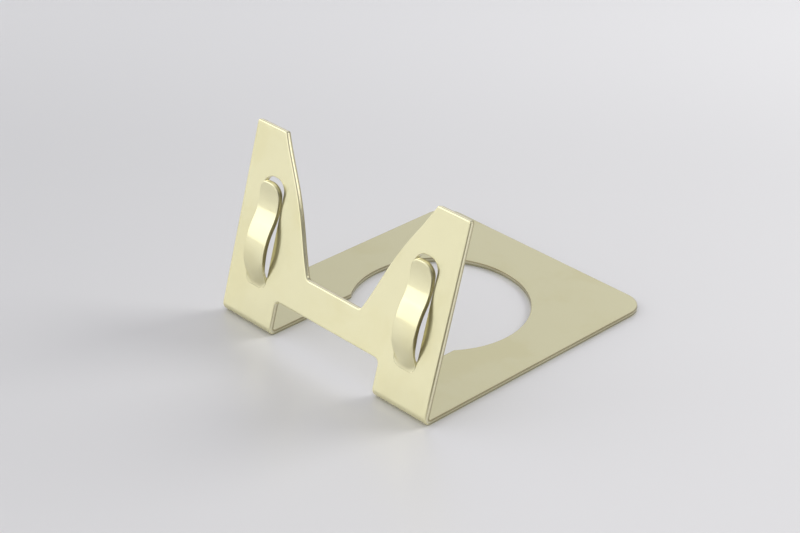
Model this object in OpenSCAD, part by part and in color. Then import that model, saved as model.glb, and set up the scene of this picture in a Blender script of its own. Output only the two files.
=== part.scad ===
// Table place card holder, pressed and folded from one sheet of metal.
// X runs along the fold, Y from the front to the rear, Z up from the table.
// The origin is on the table, at the centre of the holder's footprint.
// A flat base with a keyhole opening folds up at two feet into two ears joined by a
// crossbar. Each ear has a spring tongue, cut on three sides and bowed forward.

/* [Sheet] */
// Thickness of the sheet
sheet_t = 1; // [0.8:0.1:1.4]
// Inside radius of the fold between base and upright
fold_r = 0.2; // [0.1:0.1:1.5]
// Overall width of the holder
body_w = 52; // [48:1:70]
// Radius left on the inside corners by the press tool
corner_r = 1; // [0.4:0.1:1.4]

/* [Base] */
// Depth of the holder, from the front of the fold to the rear edge
base_d = 57.7; // [54:0.1:80]
// Radius of the two rear corners
rear_r = 4.2; // [1:0.1:8]
// Diameter of the round part of the keyhole opening
hole_d = 33.3; // [29:0.1:36]
// Distance from the rear edge to the centre of the round part
hole_inset = 27.6; // [24:0.1:30]
// Width of each foot, beside the notch that the keyhole runs out through
foot_w = 12.7; // [12.2:0.1:13.5]

/* [Upright] */
// Angle by which the upright leans back over the base, in degrees
lean = 15.6; // [5:0.1:25]
// Length of the ears up the slope, from the front corner line on the table
ear_len = 36.8; // [34:0.1:50]
// Width of the flat top of each ear
ear_top_w = 7.1; // [5:0.1:9]
// Radius of the ears' top corners
ear_r = 0.5; // [0.2:0.1:2]
// Height of the crossbar's lower edge, up the slope
bar_low = 7.4; // [5:0.1:7.6]
// Width of the crossbar, up the slope
bar_w = 6.55; // [4:0.05:8]
// Width of each ear along the top of the crossbar
ear_w = 19.2; // [18:0.1:22]

/* [Spring tongues] */
// Width of each tongue
tongue_w = 5.1; // [4.6:0.1:5.8]
// Distance from the ear's outer edge to the tongue's centre line
tongue_inset = 6.85; // [6:0.05:7.6]
// Height of the tongue's root, up the slope
root_v = 8; // [7.8:0.1:10]
// Clear space between the tongue's sides and its slot
side_gap = 0.2; // [0.15:0.01:0.4]
// Clear space below the tongue's root, where the sheet flexes
root_gap = 0.06; // [0.05:0.01:0.1]
// Distance from the top of the ear down to the top of the slot
slot_inset = 8; // [7:0.1:9]
// Clear space from the tongue's tip to the top of its slot
tip_gap = 0.75; // [0.3:0.05:1.5]
// Radius on the tongue's root corners
root_r = 1.4; // [0.5:0.1:2]
// Radius on the tongue's tip corners
tip_r = 2.2; // [0.5:0.1:2.3]
// Front radius of the crease at the root
crease_r = 1.9; // [0.6:0.1:2.4]
// Angle at which the tongue leaves the upright, in degrees
rise_angle = 31; // [26:1:36]
// Slope at which the bow returns to the upright, in degrees
return_angle = 19; // [17:0.5:22]
// Front radius of the neck that presses on the card
neck_r = 9.5; // [6:0.5:11]
// How far the neck stands in front of the ear
neck_out = 0.64; // [0.4:0.01:0.9]
// Angle at which the tip flares forward, in degrees
flare_angle = 15; // [10:1:25]
// Straight length of the flare beyond the neck
flare_len = 1.5; // [0.5:0.1:2]

/* [Hidden] */
$fn = 96;

// The cuts run past the sheet by this much
overrun = 1;
// The bends in the tongue's side view turn in steps of this many degrees
bend_step = 3;
gold = "#d8d0a0";

half_w = body_w / 2;
half_notch = half_w - foot_w;
fold_out_r = fold_r + sheet_t;
// Length from the corner line, where the outer faces would meet, to the fold itself
fold_tangent = fold_out_r / tan((90 - lean) / 2);
rear_y = base_d / 2;
fold_y = fold_out_r - base_d / 2;
corner_y = fold_y - fold_tangent;
hole_y = rear_y - hole_inset;
bar_high = bar_low + bar_w;
shoulder = [half_w - ear_w, bar_high];
ear_top = [half_w - ear_top_w, ear_len];
// Direction of the ear's slanted edge, from the shoulder to the top
slant = (ear_top - shoulder) / norm(ear_top - shoulder);

slot_top = ear_len - slot_inset;
tip_v = slot_top - tip_gap;

// The two halves of the bow take up the height and the stand-out that the crease, the neck
// and the flare leave them
rise_sag = 1 - cos(rise_angle);
return_sag = 1 - cos(return_angle);
bow_height = tip_v - root_v - crease_r * sin(rise_angle) - flare_len * cos(flare_angle)
    - neck_r * (sin(return_angle) + sin(flare_angle)) - sheet_t * sin(flare_angle);
bow_gain = neck_out - crease_r * rise_sag + neck_r * return_sag;
both_sags = sin(rise_angle) * return_sag + sin(return_angle) * rise_sag;
bow_low_r = (bow_height * return_sag + bow_gain * sin(return_angle)) / both_sags;
bow_high_r = (bow_height * rise_sag - bow_gain * sin(rise_angle)) / both_sags;

// The tongue's bends from root to tip as [front radius, angle]. A positive angle turns the
// tongue forward, and with no angle the first value is a straight length.
bends = [[crease_r, rise_angle], [bow_low_r, -rise_angle], [bow_high_r, -return_angle],
         [neck_r, return_angle + flare_angle], [flare_len, 0]];

function along(heading) = [cos(heading), sin(heading)];
function outward(heading) = [-sin(heading), cos(heading)];
// Heading of the strip after the first n bends
function heading(n) = n == 0 ? 0 : heading(n - 1) + bends[n - 1][1];
// Step along the front face from the start of bend n until the strip has turned by the angle
function step(n, angle) = bends[n][1] == 0 ? bends[n][0] * along(heading(n))
    : sign(bends[n][1]) * bends[n][0] * (outward(heading(n)) - outward(heading(n) + angle));
// Point on the front face at the start of bend n
function start(n) = n == 0 ? [0, 0] : start(n - 1) + step(n - 1, bends[n - 1][1]);

// Places along the front face, each with its heading, from root to tip
places = [[start(0), heading(0)], for (n = [0:len(bends) - 1])
    let (turn = bends[n][1], parts = max(1, ceil(abs(turn) / bend_step)))
    for (i = [1:parts]) [start(n) + step(n, turn * i / parts), heading(n) + turn * i / parts]];
front_face = [for (place = places) place[0]];
back_face = [for (place = places) place[0] - sheet_t * outward(place[1])];
side_view = concat(back_face, [for (i = [len(front_face) - 1:-1:0]) front_face[i]]);

tongue_x = half_w - tongue_inset;
slot_half = tongue_w / 2 + side_gap;
// The bow stands this far in front of the ear
bow_out = max([for (point = side_view) point[1]]);

// Places what is drawn in the plane of the upright: X across, Y up the slope, Z out of its front face
module on_upright() {
    translate([0, corner_y, 0]) rotate([90 - lean, 0, 0]) children();
}

// Gives a flat outline the sheet's thickness, behind the plane that it is drawn in
module sheet() {
    translate([0, 0, -sheet_t]) linear_extrude(sheet_t) children();
}

module to_left() {
    mirror([1, 0, 0]) children();
}

// Rectangle between two opposite corners
module area(low, high) {
    translate(low) square(high - low);
}

// Web at a corner between its edges in the directions a and b, which lies anticlockwise of a,
// up to the circle that touches both
module corner_web(corner, r, a, b) {
    half_angle = acos(a * b) / 2;
    reach = r / tan(half_angle);
    centre = (a + b) / norm(a + b) * r / sin(half_angle);
    translate(corner) difference() {
        polygon([[0, 0], reach * a, centre, reach * b]);
        translate(centre) circle(r);
    }
}

// Upright strip with its lower and upper corners rounded
module rounded_strip(half, low, high, low_r, high_r) {
    difference() {
        area([-half, low], [half, high]);
        corner_web([-half, low], low_r, [1, 0], [0, 1]);
        corner_web([half, low], low_r, [0, 1], [-1, 0]);
        corner_web([half, high], high_r, [-1, 0], [0, -1]);
        corner_web([-half, high], high_r, [0, -1], [1, 0]);
    }
}

// Flat plate with rounded rear corners, open in a keyhole that runs out between the feet
module base_plate() color(gold) translate([0, 0, sheet_t]) sheet() difference() {
    area([-half_w, fold_y], [half_w, rear_y]);
    corner_web([half_w, rear_y], rear_r, [-1, 0], [0, -1]);
    corner_web([-half_w, rear_y], rear_r, [0, -1], [1, 0]);
    translate([0, hole_y]) circle(hole_d / 2);
    area([-half_notch, fold_y - overrun], [half_notch, hole_y]);
}

// Quarter of a tube and a little more, from the base's edge round to the upright's
module fold() color(gold)
    translate([half_notch, fold_y, fold_out_r]) rotate([-90 - lean, 0, 0]) rotate([0, 90, 0])
        rotate_extrude(angle = 90 + lean) translate([fold_r, 0])
            square([sheet_t, half_w - half_notch]);

module cross_bar() color(gold) on_upright() sheet()
    area([-half_notch, bar_low], [half_notch, bar_high]);

// Foot and ear in one, with a square outer edge and a slanted inner one above the crossbar,
// open in the slot that the tongue was cut from
module ear() color(gold) on_upright() sheet() difference() {
    union() {
        polygon([[half_notch, fold_tangent], [half_w, fold_tangent], [half_w, ear_len], ear_top,
                 shoulder, [half_notch, bar_high]]);
        corner_web(shoulder, corner_r, slant, [-1, 0]);
        corner_web([half_notch, bar_low], corner_r, [-1, 0], [0, -1]);
    }
    corner_web([half_w, ear_len], ear_r, [-1, 0], [0, -1]);
    corner_web(ear_top, ear_r, -slant, [1, 0]);
    translate([tongue_x, 0])
        rounded_strip(slot_half, root_v - root_gap, slot_top, root_r + root_gap, tip_r + side_gap);
}

// Tongue that rises from its root, bows forward, presses on the card at its neck and flares at its tip
module spring_tongue() color(gold) on_upright() translate([tongue_x, 0, 0]) intersection() {
    rotate([90, 0, 90]) linear_extrude(2 * slot_half, center = true)
        translate([root_v, 0]) polygon(side_view);
    translate([0, 0, -sheet_t - overrun]) linear_extrude(bow_out + sheet_t + 2 * overrun)
        rounded_strip(tongue_w / 2, root_v, tip_v, root_r, tip_r);
}

base_plate();
to_left() fold();  // left_fold
fold();  // right_fold
cross_bar();
to_left() ear();  // left_ear
ear();  // right_ear
to_left() spring_tongue();  // left_spring_tongue
spring_tongue();  // right_spring_tongue
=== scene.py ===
"""Looks of a place card holder, pressed and folded from one sheet of pale gold metal.

All is in metres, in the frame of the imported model: X runs along the fold, Y from the front
to the rear and Z up from the table. The stand is one bent sheet with rolled and sheared
edges. Each spring tongue is a bowed strip that rises from a soft crease in its ear.
"""

import logging
import math
from collections.abc import Sequence
from dataclasses import dataclass, field, replace
from enum import Enum

import bmesh
import bpy
import numpy as np
from mathutils import Matrix, Vector


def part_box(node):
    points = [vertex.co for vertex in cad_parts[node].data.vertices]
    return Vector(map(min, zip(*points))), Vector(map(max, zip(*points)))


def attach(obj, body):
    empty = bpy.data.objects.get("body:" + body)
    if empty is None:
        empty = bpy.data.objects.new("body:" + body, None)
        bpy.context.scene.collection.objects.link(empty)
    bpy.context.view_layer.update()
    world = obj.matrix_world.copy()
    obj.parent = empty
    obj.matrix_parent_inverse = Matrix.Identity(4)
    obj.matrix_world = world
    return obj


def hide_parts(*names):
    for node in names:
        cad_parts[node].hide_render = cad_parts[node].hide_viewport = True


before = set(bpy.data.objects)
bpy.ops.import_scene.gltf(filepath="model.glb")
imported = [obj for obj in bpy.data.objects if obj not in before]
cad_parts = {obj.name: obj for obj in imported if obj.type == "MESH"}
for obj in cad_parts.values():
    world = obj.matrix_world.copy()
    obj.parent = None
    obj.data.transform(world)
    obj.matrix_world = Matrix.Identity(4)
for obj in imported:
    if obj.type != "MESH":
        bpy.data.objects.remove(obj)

log = logging.getLogger("place_card_holder")

MM = 0.001
# Points of two patches that lie closer than this are one point
WELD = 2e-7
# Width of the photograph in pixels, in which the camera's focal length is given
PHOTO_WIDTH = 800
# A noise texture puts out values about this one
NOISE_MIDDLE = 0.5

Tint = tuple[float, float, float]
Place = tuple[float, float, float]
Band = tuple[float, float]
Sampled = tuple[np.ndarray, np.ndarray]
Socket = bpy.types.NodeSocket
Feed = Socket | float | tuple[float, ...]


class Face(Enum):
    """The two faces of the sheet."""

    FRONT = "the face outside the fold, in front on the ears and beneath on the base"
    BACK = "the face inside the fold, behind the ears and on top of the base"


class Side(Enum):
    """The two sides of the holder, seen from the front."""

    LEFT = "left"
    RIGHT = "right"


class Dressing(Enum):
    """The finishes that a piece wears, by their place in its material slots."""

    FLAT = 0
    SHEARED = 1


def smooth_step(share: np.ndarray) -> np.ndarray:
    """Rise from 0 to 1 with level ends: 3 s^2 - 2 s^3 of the share, held within 0 and 1."""
    held = np.clip(share, 0.0, 1.0)
    return held * held * (3.0 - 2.0 * held)


def heading(degrees: np.ndarray | float) -> np.ndarray:
    """Unit vectors in the plane at these angles in degrees, as cosine and sine."""
    angle = np.radians(np.asarray(degrees, float))
    return np.stack([np.cos(angle), np.sin(angle)], axis=-1)


def stepped(knots: Sequence[float], steps: Sequence[int]) -> np.ndarray:
    """Values from knot to knot in so many even steps, with each knot once."""
    parts = [np.linspace(a, b, count, endpoint=False) for a, b, count in zip(knots, knots[1:], steps)]
    return np.concatenate(parts + [np.array([knots[-1]])])


@dataclass(frozen=True)
class Path:
    """A smooth line in the flat sheet, walked with the metal on the left.

    Attributes:
        points: Closely spaced points, one to a row.
        normals: Unit vector out of the metal at each point.
        marks: Lengths along the path at which its lines and arcs begin and end.
    """

    points: np.ndarray
    normals: np.ndarray
    marks: tuple[float, ...]

    SPACING = 0.05 * MM

    @property
    def lengths(self) -> np.ndarray:
        """Length walked at each point: the running sum of the steps between points."""
        steps = np.linalg.norm(np.diff(self.points, axis=0), axis=1)
        return np.concatenate([[0.0], np.cumsum(steps)])

    @property
    def total(self) -> float:
        """Length of the whole path."""
        return float(self.lengths[-1])

    def at(self, stations: np.ndarray) -> Sampled:
        """Points and normals along the path, each read off between its neighbours.

        Args:
            stations: Lengths along the path.

        Returns:
            The points and their unit normals.
        """
        lengths = self.lengths
        points = np.stack([np.interp(stations, lengths, self.points[:, k]) for k in (0, 1)], axis=-1)
        normals = np.stack([np.interp(stations, lengths, self.normals[:, k]) for k in (0, 1)], axis=-1)
        return points, normals / np.linalg.norm(normals, axis=-1, keepdims=True)

    def where(self, axis: int, value: float, first: int, last: int) -> float:
        """Length at which a coordinate reaches a value.

        Args:
            axis: 0 for the coordinate across the sheet, 1 for the one up it.
            value: Value that the coordinate reaches.
            first: Mark at which the search begins.
            last: Mark at which it ends.

        Returns:
            The length, read off between the points on either side.
        """
        lengths = self.lengths
        slack = self.SPACING / 1000
        inside = (lengths >= self.marks[first] - slack) & (lengths <= self.marks[last] + slack)
        found, at = self.points[inside, axis], lengths[inside]
        order = np.argsort(found)
        return float(np.interp(value, found[order], at[order]))

    def reshaped(self, points: np.ndarray) -> "Path":
        """The path with its points moved, its normals turned to stay square to it.

        Args:
            points: The moved points, one for each of the path's own.

        Returns:
            The new path, whose marks stay at the same points.
        """
        tangent = np.gradient(points, axis=0)
        normals = np.stack([tangent[:, 1], -tangent[:, 0]], axis=-1)
        moved = Path(points, normals / np.linalg.norm(normals, axis=1, keepdims=True), ())
        return replace(moved, marks=tuple(np.interp(self.marks, self.lengths, moved.lengths)))


def line(start: np.ndarray, end: np.ndarray) -> Sampled:
    """Straight stretch start + (end - start) u, with the metal on its left.

    Args:
        start: First point.
        end: Last point.

    Returns:
        Points and normals.
    """
    start, end = np.asarray(start, float), np.asarray(end, float)
    along = end - start
    share = np.linspace(0.0, 1.0, 2 + int(np.linalg.norm(along) / Path.SPACING))[:, None]
    normal = np.array([along[1], -along[0]]) / np.linalg.norm(along)
    return start + along * share, np.repeat(normal[None], len(share), axis=0)


def arc(centre: np.ndarray, radius: float, start: float, end: float) -> Sampled:
    """Round stretch centre + radius (cos a, sin a), with a from start to end.

    A corner of the metal turns anticlockwise, and its normals point away from the centre. An
    inside corner turns clockwise, and its normals point at the centre.

    Args:
        centre: Centre of the circle.
        radius: Its radius.
        start: Angle of the first point, in degrees.
        end: Angle of the last point, in degrees.

    Returns:
        Points and normals, at most 2 degrees apart.
    """
    steps = 2 + int(math.radians(abs(end - start)) * radius / Path.SPACING) + int(abs(end - start) / 2)
    spoke = heading(np.linspace(start, end, steps))
    return np.asarray(centre, float) + radius * spoke, math.copysign(1.0, end - start) * spoke


def joined(stretches: list[Sampled]) -> Path:
    """Path made of stretches end to end, where the doubled point at each joint is dropped once.

    Args:
        stretches: Lines and arcs in order, each beginning where the last one ended.

    Returns:
        The path, with a mark at each end of each stretch.
    """
    points = np.concatenate([stretches[0][0]] + [s[0][1:] for s in stretches[1:]])
    normals = np.concatenate([stretches[0][1]] + [s[1][1:] for s in stretches[1:]])
    lengths = [float(np.linalg.norm(np.diff(s[0], axis=0), axis=1).sum()) for s in stretches]
    return Path(points, normals, tuple(np.concatenate([[0.0], np.cumsum(lengths)])))


def rounded(corners: list[tuple[float, float]], radii: list[float]) -> list[Sampled]:
    """Stretches of a path through corners, each inner one rounded to its radius.

    The arc at a corner touches both its lines, so it begins radius tan(turn / 2) before the
    corner, where turn is the angle between the lines.

    Args:
        corners: The points in the order walked, with the first and last as the path's ends.
        radii: Radius at each inner corner.

    Returns:
        Lines and arcs in turn, from the first corner to the last.
    """
    spots = np.asarray(corners, float)
    ways = np.diff(spots, axis=0)
    ways /= np.linalg.norm(ways, axis=1, keepdims=True)
    headings = np.degrees(np.arctan2(ways[:, 1], ways[:, 0]))
    stretches, start = [], spots[0]
    for corner, radius, before, after, way, next_way in zip(
        spots[1:-1], radii, headings[:-1], headings[1:], ways[:-1], ways[1:]
    ):
        turn = (after - before + 180.0) % 360.0 - 180.0
        side = math.copysign(1.0, turn)
        reach = radius * math.tan(math.radians(abs(turn)) / 2)
        stretches.append(line(start, corner - way * reach))
        first = before - 90.0 * side
        centre = corner - way * reach - side * heading(before - 90.0) * radius
        stretches.append(arc(centre, radius, first, first + turn))
        start = corner + next_way * reach
    stretches.append(line(start, spots[-1]))
    return stretches


@dataclass
class Patch:
    """A grid of points with a normal and some notes at each, which becomes quads.

    Attributes:
        points: Rows by columns by 3.
        normals: Unit vectors of the same shape.
        dressing: The finish that its quads wear.
        rolled: Share by which each point lies on an edge's rolled-over lip.
        along: Length in millimetres along the edge, at each point of a rim.
        depth: Depth in millimetres below the front face, at each point of a rim.
    """

    points: np.ndarray
    normals: np.ndarray
    dressing: Dressing = Dressing.FLAT
    rolled: np.ndarray | float = 0.0
    along: np.ndarray | float = 0.0
    depth: np.ndarray | float = 0.0

    NOTES = ("rolled", "along", "depth")

    def notes(self) -> np.ndarray:
        """The notes of each point, one point to a row."""
        columns = [np.broadcast_to(getattr(self, note), self.points.shape[:2]) for note in self.NOTES]
        return np.stack(columns, -1).reshape(-1, len(columns))

    def mirrored(self) -> "Patch":
        """The same patch on the other side of the plane X = 0."""
        flip = np.array([-1.0, 1.0, 1.0])
        return replace(self, points=self.points * flip, normals=self.normals * flip)


def ruled(low: np.ndarray, high: np.ndarray, steps: int) -> np.ndarray:
    """Grid between two lines of points: low + (high - low) v, with v from 0 to 1 across it."""
    share = np.linspace(0.0, 1.0, steps + 1)[None, :, None]
    return low[:, None] * (1.0 - share) + high[:, None] * share


def gathered(patches: list[Patch]) -> tuple[np.ndarray, np.ndarray, np.ndarray, np.ndarray, np.ndarray]:
    """All the patches as one list of points and one of quads.

    Each quad is turned so that its corners run anticlockwise about the sum of their normals:
    the cross product of its two diagonals is held against that sum.

    Args:
        patches: The patches of one piece.

    Returns:
        Points, normals, notes, quads as four places in the list of points, and the slot that
        each quad wears.
    """
    quads, slots, base = [], [], 0
    for patch in patches:
        rows, columns = patch.points.shape[:2]
        index = base + np.arange(rows * columns).reshape(rows, columns)
        corners = np.stack([index[:-1, :-1], index[:-1, 1:], index[1:, 1:], index[1:, :-1]], -1)
        quads.append(corners.reshape(-1, 4))
        slots.append(np.full(len(quads[-1]), patch.dressing.value, np.int32))
        base += rows * columns
    at = np.concatenate([patch.points.reshape(-1, 3) for patch in patches])
    out = np.concatenate([patch.normals.reshape(-1, 3) for patch in patches])
    quad = np.concatenate(quads)
    facing = np.cross(at[quad[:, 2]] - at[quad[:, 0]], at[quad[:, 3]] - at[quad[:, 1]])
    wrong = np.einsum("ij,ij->i", facing, out[quad].sum(axis=1)) < 0
    quad[wrong] = quad[wrong][:, ::-1]
    return at, out, np.concatenate([patch.notes() for patch in patches]), quad, np.concatenate(slots)


def weld_patches(name: str, patches: list[Patch], finishes: list[bpy.types.Material]) -> bpy.types.Object:
    """One closed piece from patches that share their borders.

    Points closer than the weld are merged, and each keeps the normal worked out for it.

    Args:
        name: Name of the piece.
        patches: The patches, in metres, in the frame.
        finishes: A material for each dressing, in order.

    Returns:
        The piece's object, at the origin.
    """
    at, out, notes, quads, slots = gathered(patches)
    mesh = bpy.data.meshes.new(name)
    mesh.from_pydata(at, [], quads)
    mesh.polygons.foreach_set("material_index", slots)
    carried = mesh.attributes.new("out", "FLOAT_VECTOR", "POINT")
    carried.data.foreach_set("vector", out.astype(np.float32).ravel())
    for label, note in zip(Patch.NOTES, notes.T):
        mesh.attributes.new(label, "FLOAT", "POINT").data.foreach_set("value", note.astype(np.float32))

    shell = bmesh.new()
    shell.from_mesh(mesh)
    bmesh.ops.remove_doubles(shell, verts=shell.verts, dist=WELD)
    bmesh.ops.dissolve_degenerate(shell, edges=shell.edges, dist=WELD)
    shell.to_mesh(mesh)
    open_edges = sum(1 for edge in shell.edges if not edge.is_manifold)
    shell.free()
    if open_edges:
        log.warning("%s has %d open edges", name, open_edges)

    kept = np.zeros(len(mesh.vertices) * 3, np.float32)
    mesh.attributes["out"].data.foreach_get("vector", kept)
    mesh.polygons.foreach_set("use_smooth", np.ones(len(mesh.polygons), bool))
    mesh.normals_split_custom_set_from_vertices(kept.reshape(-1, 3))
    mesh.attributes.remove(mesh.attributes["out"])
    for finish in finishes:
        mesh.materials.append(finish)
    piece = bpy.data.objects.new(name, mesh)
    bpy.context.scene.collection.objects.link(piece)
    return piece


@dataclass(frozen=True)
class EdgeSection:
    """The cut edge in section at each station, from the front face round to the back.

    Each array has a station to a row and a point of the section to a column, but bend, which
    is the same at every station.

    Attributes:
        inset: Distance in from the outline.
        depth: Depth below the front face.
        bend: The normal, as its parts out of the front face and out of the wall.
        rolled: 1 in the middle of the rolled lip, and 0 at its ends and beyond it.
        level: Depth in millimetres of the same point where the lip is whole.
    """

    inset: np.ndarray
    depth: np.ndarray
    bend: np.ndarray
    rolled: np.ndarray
    level: np.ndarray


@dataclass(frozen=True)
class ShearedEdge:
    """The edge that a press leaves on sheet: a rolled lip, a wall, and a break at the back.

    Attributes:
        thickness: Thickness of the sheet.
        roll_reach: How far in from the outline the front face begins to be drawn over.
        roll_depth: How deep it is drawn over where it meets the wall.
        fall_back: How far the wall falls back where the metal broke instead of being cut.
        lip: Radius of the back edge, once tumbled free of its burr.
        cut_share: Share of the wall that was cut smooth, below the rolled lip.
    """

    thickness: float
    roll_reach: float = 0.34 * MM
    roll_depth: float = 0.22 * MM
    fall_back: float = 0.035 * MM
    lip: float = 0.09 * MM
    cut_share: float = 0.45

    ROLL_STEPS = 7
    WALL_STEPS = 6
    LIP_STEPS = 4

    @property
    def back_inset(self) -> float:
        """Inset of the back face from the outline."""
        return self.fall_back + self.lip

    def section(self, roll_share: np.ndarray) -> EdgeSection:
        """The edge from the front face round to the back.

        The roll is a quarter of an ellipse: inset reach (1 - sin a), depth drop (1 - cos a),
        with the normal along (drop sin a, reach cos a). The lip is a quarter circle. Between
        them the wall goes straight down, then slopes in to the break.

        Args:
            roll_share: Share of the rolled lip that is there, at each station.

        Returns:
            The section at each station. Where the share is under 1, the roll's inset and depth
            shrink with it.
        """
        turn = np.linspace(0.0, 90.0, self.ROLL_STEPS + 1)
        bend = heading(turn)
        tilt = np.degrees(np.arctan2(self.roll_depth * bend[:, 1], self.roll_reach * bend[:, 0]))
        down = np.linspace(self.roll_depth, self.thickness - self.lip, self.WALL_STEPS + 1)[1:-1]
        broken = self.roll_depth + self.cut_share * (self.thickness - self.lip - self.roll_depth)
        back = np.linspace(90.0, 180.0, self.LIP_STEPS + 1)
        back_bend = heading(back)
        inset = np.concatenate([
            self.roll_reach * (1.0 - bend[:, 1]),
            self.fall_back * smooth_step((down - broken) / (self.thickness - self.lip - broken)),
            self.fall_back + self.lip * (1.0 - back_bend[:, 1]),
        ])
        depth = np.concatenate([
            self.roll_depth * (1.0 - bend[:, 0]), down, self.thickness - self.lip * (1.0 + back_bend[:, 0])
        ])
        angle = np.concatenate([tilt, np.full(len(down), 90.0), back])
        rolled = np.concatenate([np.sin(np.radians(turn * 2.0)), np.zeros(len(down) + len(back))])
        on_roll = np.arange(len(inset)) <= self.ROLL_STEPS
        share = np.where(on_roll, roll_share[:, None], 1.0)
        level = np.broadcast_to(depth / MM, share.shape)
        return EdgeSection(inset * share, depth * share, heading(angle), rolled * share, level)

    def dressed(
        self, points: np.ndarray, normals: np.ndarray, stations: np.ndarray, section: EdgeSection
    ) -> list[Patch]:
        """Patches of an edge that has been carried along an outline.

        Args:
            points: Its points, a station to a row.
            normals: Its unit normals.
            stations: Lengths along the outline.
            section: The section that was carried.

        Returns:
            The rolled lip, which wears the face's finish, and the wall and the back's lip.
        """
        along = np.broadcast_to(stations[:, None] / MM, points.shape[:2])
        shares = (
            (slice(0, self.ROLL_STEPS + 1), Dressing.FLAT), (slice(self.ROLL_STEPS, None), Dressing.SHEARED)
        )
        return [
            Patch(
                points[:, part], normals[:, part], dressing,
                section.rolled[:, part], along[:, part], section.level[:, part],
            )
            for part, dressing in shares
        ]

    def carried(self, path: Path, stations: np.ndarray, roll_share: np.ndarray | float) -> list[Patch]:
        """The edge carried along a path of the flat sheet.

        A point is the path's own point, less the normal times the inset, at the depth below
        the front face.

        Args:
            path: The outline.
            stations: Lengths along it.
            roll_share: Share of the rolled lip that is there, at each station.

        Returns:
            The edge's patches, still flat: across, up the sheet and out of its front face.
        """
        at, out = path.at(stations)
        section = self.section(np.broadcast_to(roll_share, len(stations)))
        points = np.empty(section.inset.shape + (3,))
        points[..., :2] = at[:, None] - out[:, None] * section.inset[..., None]
        points[..., 2] = -section.depth
        normals = np.empty_like(points)
        normals[..., :2] = out[:, None] * section.bend[:, 1:]
        normals[..., 2] = section.bend[:, 0]
        return self.dressed(points, normals, stations, section)


@dataclass(frozen=True)
class Fold:
    """The bend from the base up into the ears.

    A point of the flat sheet has a place across, a reach up the sheet from the corner line
    where the two outer faces would meet, and a height out of the front face.

    Attributes:
        axis_y: Y of the bend's axis.
        radius: Radius of the front face round the bend.
        lean: Angle in degrees by which the ears lean back.
        thickness: Thickness of the sheet.
        bulge: How far the squeezed inner face swells out at the ends of the bend.
    """

    axis_y: float
    radius: float
    lean: float
    thickness: float
    bulge: float = 0.045 * MM

    @property
    def tangent(self) -> float:
        """Reach at which the bend ends, radius tan(turn / 2), as far past the corner line as before it."""
        return self.radius / math.tan(math.radians(90.0 - self.lean) / 2)

    @property
    def corner_y(self) -> float:
        """Y of the corner line on the table."""
        return self.axis_y - self.tangent

    def passed(self, reach: np.ndarray) -> np.ndarray:
        """Share of the bend that lies before a reach: 0 on the base and 1 on the ears."""
        return np.clip((reach + self.tangent) / (2 * self.tangent), 0.0, 1.0)

    def turn(self, reach: np.ndarray) -> np.ndarray:
        """Angle turned at a reach, in radians: none on the base, then evenly to 90 degrees and the lean."""
        return self.passed(reach) * math.radians(90.0 + self.lean)

    def place(self, flat: np.ndarray) -> np.ndarray:
        """Folded places of flat points.

        In the bend a point is at the axis plus (radius + height) times the direction that has
        turned from straight down. Before and after it the point goes on along the tangent.

        Args:
            flat: Points as across, reach and height.

        Returns:
            Points in the frame.
        """
        across, reach, height = flat[..., 0], flat[..., 1], flat[..., 2]
        turn = self.turn(reach)
        beyond = np.minimum(reach + self.tangent, 0.0) + np.maximum(reach - self.tangent, 0.0)
        y = self.axis_y - (self.radius + height) * np.sin(turn) - beyond * np.cos(turn)
        z = self.radius - (self.radius + height) * np.cos(turn) + beyond * np.sin(turn)
        return np.stack([across, y, z], axis=-1)

    def direct(self, flat: np.ndarray, way: np.ndarray) -> np.ndarray:
        """Folded directions of flat ones: each is turned by the angle at its point.

        Args:
            flat: Points as across, reach and height.
            way: A unit vector at each.

        Returns:
            The unit vectors in the frame.
        """
        turn = self.turn(flat[..., 1])
        y = -way[..., 1] * np.cos(turn) - way[..., 2] * np.sin(turn)
        z = way[..., 1] * np.sin(turn) - way[..., 2] * np.cos(turn)
        return np.stack([way[..., 0], y, z], axis=-1)

    def swell(self, flat: np.ndarray, middle: float, half: float) -> np.ndarray:
        """Flat points moved by the swelling at the ends of the bend.

        The shift is bulge e^3 sin^2(pi s) c, where e is the place between the foot's edges
        from -1 to 1, s the share of the bend passed, and c runs from -1 on the front face to
        1 on the back.

        Args:
            flat: Points as across, reach and height.
            middle: Place across of the foot's middle.
            half: Half of the foot's width.

        Returns:
            The moved points.
        """
        edge = np.clip((flat[..., 0] - middle) / half, -1.0, 1.0) ** 3
        side = -2.0 * flat[..., 2] / self.thickness - 1.0
        moved = flat.copy()
        moved[..., 0] += self.bulge * edge * np.sin(np.pi * self.passed(flat[..., 1])) ** 2 * side
        return moved


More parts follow.
